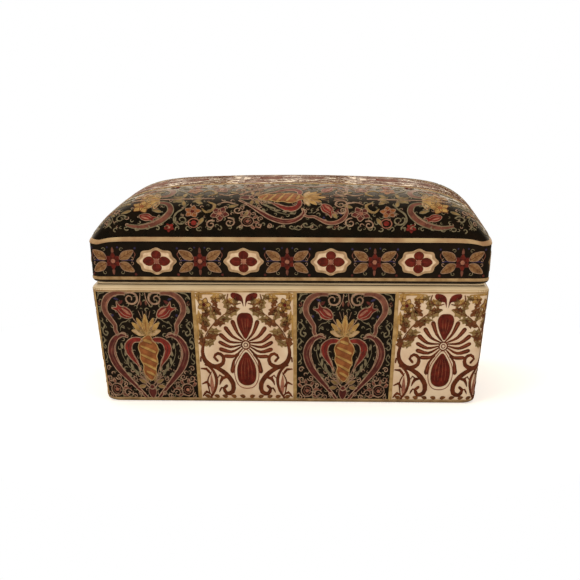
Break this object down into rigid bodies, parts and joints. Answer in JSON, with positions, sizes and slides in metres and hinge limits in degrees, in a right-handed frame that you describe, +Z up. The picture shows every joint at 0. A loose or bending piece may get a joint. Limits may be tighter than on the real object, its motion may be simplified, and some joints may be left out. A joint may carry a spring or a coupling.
{
  "type": "lidded ceramic box",
  "caption": "Rectangular footed ceramic box with a lift-off pillow-domed lid that sits over a raised collar, decorated all over with panels of scrollwork and flowers.",
  "frame": {"origin": "on the table, under the middle of the box", "axes": "+X along the front, to the viewer's right; +Y towards the back; +Z up"},
  "size_m": [0.203, 0.127, 0.1103],
  "materials": {
    "tub_glaze": "glossy",
    "lid_glaze": "glossy"
  },
  "bodies": {
    "tub": {"tub": "tub_glaze"},
    "lid": {"lid": "lid_glaze"}
  },
  "joints": [
    {"name": "lid_lift", "type": "slide", "parent": "tub", "child": "lid", "axis": [0, 0, 1], "range_m": [0, 0.09]}
  ]
}
